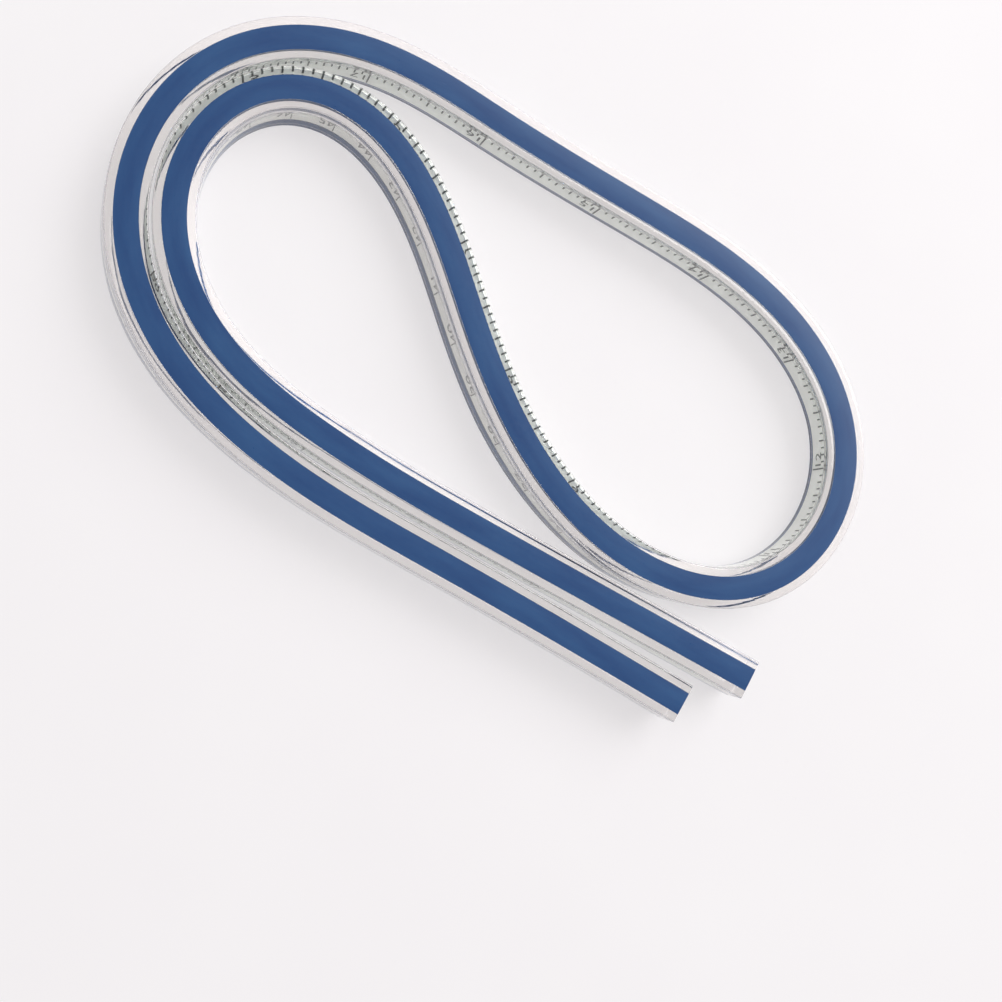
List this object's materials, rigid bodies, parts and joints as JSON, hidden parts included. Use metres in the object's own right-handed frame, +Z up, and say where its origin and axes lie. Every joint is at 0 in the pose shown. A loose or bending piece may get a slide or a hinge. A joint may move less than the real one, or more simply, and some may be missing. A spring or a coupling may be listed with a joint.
{
  "type": "flexible curve ruler",
  "caption": "Flexible curve ruler: a bendable lead and steel core in a clear and blue plastic tube with printed scales, lying bent into loops.",
  "frame": {"origin": "on the table, under the middle of the bent ruler's box", "axes": "+Z up, out of the table; +X and +Y along the table, +X along the long side of the loops' box, with the free ends towards +X and -Y"},
  "size_m": [0.147, 0.1304, 0.0094],
  "materials": {
    "clear_pvc": "clear soft PVC, glossy, slightly cool, with fine handling scratches",
    "blue_pvc": "satin mid-blue soft PVC, finely scuffed",
    "scale_film": "matt mint-white printed film, dark grey-green ink",
    "spring_steel": "bright rolled spring steel",
    "lead": "dull grey soft lead",
    "plug_pvc": "cloudy translucent PVC"
  },
  "bodies": {
    "root": {"clear_wall_cm_1": "clear_pvc", "clear_wall_inch_1": "clear_pvc", "blue_band_top_1": "blue_pvc", "blue_band_base_1": "blue_pvc", "scale_strip_cm_1": "scale_film", "scale_strip_inch_1": "scale_film", "spring_strip_cm_1": "spring_steel", "spring_strip_inch_1": "spring_steel", "lead_core_1": "lead", "clear_wall_cm_2": "clear_pvc", "clear_wall_inch_2": "clear_pvc", "blue_band_top_2": "blue_pvc", "blue_band_base_2": "blue_pvc", "scale_strip_cm_2": "scale_film", "scale_strip_inch_2": "scale_film", "spring_strip_cm_2": "spring_steel", "spring_strip_inch_2": "spring_steel", "lead_core_2": "lead", "end_plug_a": "plug_pvc"},
    "ring_upper": {"clear_wall_cm_3": "clear_pvc", "clear_wall_inch_3": "clear_pvc", "blue_band_top_3": "blue_pvc", "blue_band_base_3": "blue_pvc", "scale_strip_cm_3": "scale_film", "scale_strip_inch_3": "scale_film", "spring_strip_cm_3": "spring_steel", "spring_strip_inch_3": "spring_steel", "lead_core_3": "lead"},
    "ring_lower": {"clear_wall_cm_4": "clear_pvc", "clear_wall_inch_4": "clear_pvc", "blue_band_top_4": "blue_pvc", "blue_band_base_4": "blue_pvc", "scale_strip_cm_4": "scale_film", "scale_strip_inch_4": "scale_film", "spring_strip_cm_4": "spring_steel", "spring_strip_inch_4": "spring_steel", "lead_core_4": "lead"},
    "return_strand": {"clear_wall_cm_5": "clear_pvc", "clear_wall_inch_5": "clear_pvc", "blue_band_top_5": "blue_pvc", "blue_band_base_5": "blue_pvc", "scale_strip_cm_5": "scale_film", "scale_strip_inch_5": "scale_film", "spring_strip_cm_5": "spring_steel", "spring_strip_inch_5": "spring_steel", "lead_core_5": "lead"},
    "tail": {"clear_wall_cm_6": "clear_pvc", "clear_wall_inch_6": "clear_pvc", "blue_band_top_6": "blue_pvc", "blue_band_base_6": "blue_pvc", "scale_strip_cm_6": "scale_film", "scale_strip_inch_6": "scale_film", "spring_strip_cm_6": "spring_steel", "spring_strip_inch_6": "spring_steel", "lead_core_6": "lead", "end_plug_b": "plug_pvc"}
  },
  "joints": [
    {"name": "flex_ring_top", "type": "hinge", "parent": "root", "child": "ring_upper", "pos_m": [-0.0379, 0.06119, 0.0047], "axis": [0, 0, -1], "range_deg": [0, 30]},
    {"name": "flex_ring_left", "type": "hinge", "parent": "ring_upper", "child": "ring_lower", "pos_m": [-0.06894, 0.02908, 0.0047], "axis": [0, 0, -1], "range_deg": [0, 30]},
    {"name": "flex_strand", "type": "hinge", "parent": "ring_lower", "child": "return_strand", "pos_m": [-0.04484, -0.01466, 0.0047], "axis": [0, 0, -1], "range_deg": [0, 30]},
    {"name": "flex_tail", "type": "hinge", "parent": "return_strand", "child": "tail", "pos_m": [-0.00378, -0.03942, 0.0047], "axis": [0, 0, -1], "range_deg": [0, 30]}
  ]
}
